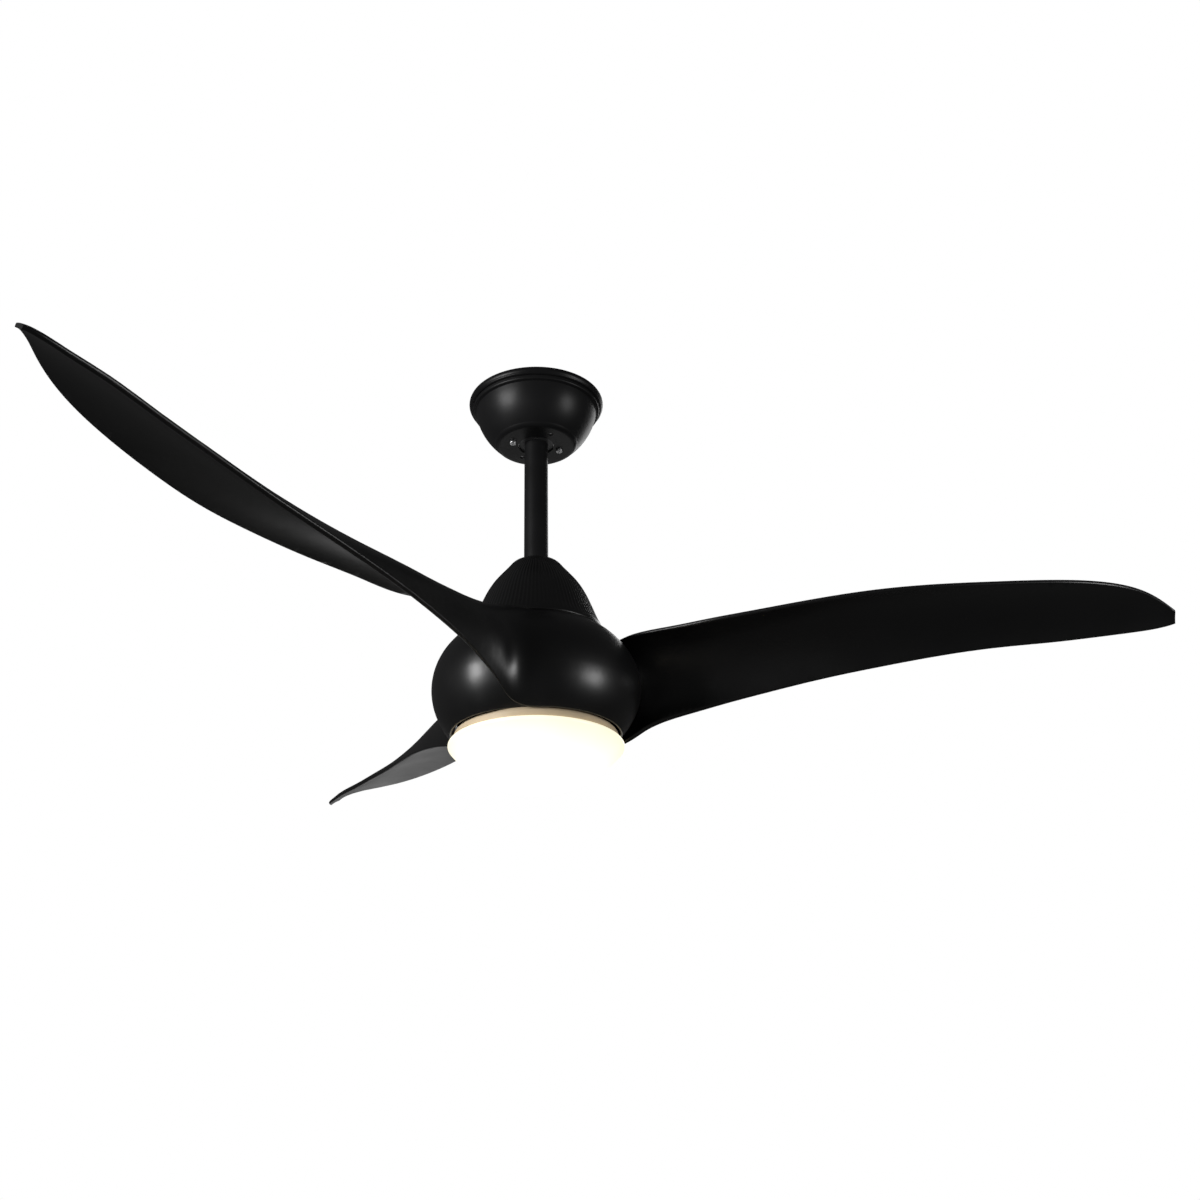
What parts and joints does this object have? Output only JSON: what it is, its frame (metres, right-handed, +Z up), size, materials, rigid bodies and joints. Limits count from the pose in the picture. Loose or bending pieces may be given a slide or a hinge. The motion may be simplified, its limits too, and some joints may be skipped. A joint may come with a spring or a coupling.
{
  "type": "ceiling fan with light",
  "caption": "Black ceiling fan on a short downrod with moulded twisting blades whose roots form the motor bowl, and an opal light dome below.",
  "frame": {"origin": "centre of the ceiling face, between the two hanger slots", "axes": "+Z up, away from the fan and into the ceiling; +X along the line of the two hanger slots"},
  "size_m": [1.0221, 1.131, 0.453],
  "materials": {
    "black_metal": "satin powder coat",
    "black_trim": "satin gloss",
    "black_plastic": "fine satin grain",
    "zinc": "zinc plated",
    "bare_steel": "rolled",
    "spring_steel": "tempered",
    "bearing_steel": "ground and polished",
    "cage_brass": "stamped",
    "cast_aluminium": "die cast",
    "iron_core": "laminated",
    "magnet": "sintered",
    "copper_wire": "enamelled",
    "nylon": "moulded",
    "white_plastic": "moulded",
    "white_paint": "white powder coat",
    "cable": "sheathed",
    "circuit": "board and parts",
    "white_circuit": "white solder mask",
    "led": "phosphor",
    "opal": "opal diffuser"
  },
  "bodies": {
    "ceiling_mount": {"hanger_bracket": "zinc", "canopy": "black_metal", "canopy_ring": "black_trim", "canopy_screws": "zinc", "receiver_base": "black_plastic", "receiver_lid": "black_plastic", "receiver_board": "circuit"},
    "hanging": {"hanger_ball": "nylon", "ball_pin": "zinc", "ball_screw": "zinc", "downrod": "black_metal", "wiring_harness": "cable", "harness_plug": "white_plastic", "motor_coupling": "cast_aluminium", "clevis_pin": "zinc", "clevis_clip": "zinc", "coupling_screws": "zinc", "cone_cover": "black_plastic", "cover_screws": "zinc", "motor_shaft": "bare_steel", "stator_core": "iron_core", "stator_windings": "copper_wire", "upper_bearing_inner": "bearing_steel", "lower_bearing_inner": "bearing_steel", "shaft_nut": "zinc", "light_plate": "bare_steel", "driver_case": "white_plastic", "driver_board": "circuit", "driver_lid": "white_plastic", "led_lead": "cable", "light_pan": "white_paint", "pan_screws": "zinc", "led_board": "white_circuit", "led_chips": "led", "board_screws": "zinc", "dome_clips": "spring_steel"},
    "rotor": {"rotor_top": "cast_aluminium", "rotor_bottom": "cast_aluminium", "rotor_ring": "bare_steel", "rotor_magnets": "magnet", "rotor_screws": "zinc", "upper_bearing_outer": "bearing_steel", "lower_bearing_outer": "bearing_steel", "blade_1": "black_plastic", "blade_2": "black_plastic", "blade_3": "black_plastic", "blade_screws": "zinc"},
    "upper_rollers": {"upper_bearing_balls": "bearing_steel", "upper_bearing_cage": "cage_brass"},
    "lower_rollers": {"lower_bearing_balls": "bearing_steel", "lower_bearing_cage": "cage_brass"},
    "dome": {"light_dome": "opal"}
  },
  "joints": [
    {"name": "hanger_tilt", "type": "hinge", "parent": "ceiling_mount", "child": "hanging", "pos_m": [0, 0, -0.04], "axis": [1, 0, 0], "range_deg": [-15, 15]},
    {"name": "fan_spin", "type": "hinge", "parent": "hanging", "child": "rotor", "pos_m": [0, 0, -0.331], "axis": [0, 0, 1], "continuous": true},
    {"name": "upper_roll", "type": "hinge", "parent": "hanging", "child": "upper_rollers", "pos_m": [0, 0, -0.316], "axis": [0, 0, 1], "continuous": true},
    {"name": "lower_roll", "type": "hinge", "parent": "hanging", "child": "lower_rollers", "pos_m": [0, 0, -0.346], "axis": [0, 0, 1], "continuous": true},
    {"name": "dome_twist", "type": "hinge", "parent": "hanging", "child": "dome", "pos_m": [0, 0, -0.41], "axis": [0, 0, -1], "range_deg": [0, 25]}
  ],
  "couplings": [
    {"joint": "upper_roll", "follows": "fan_spin", "ratio": 0.5968},
    {"joint": "lower_roll", "follows": "fan_spin", "ratio": 0.5968}
  ]
}
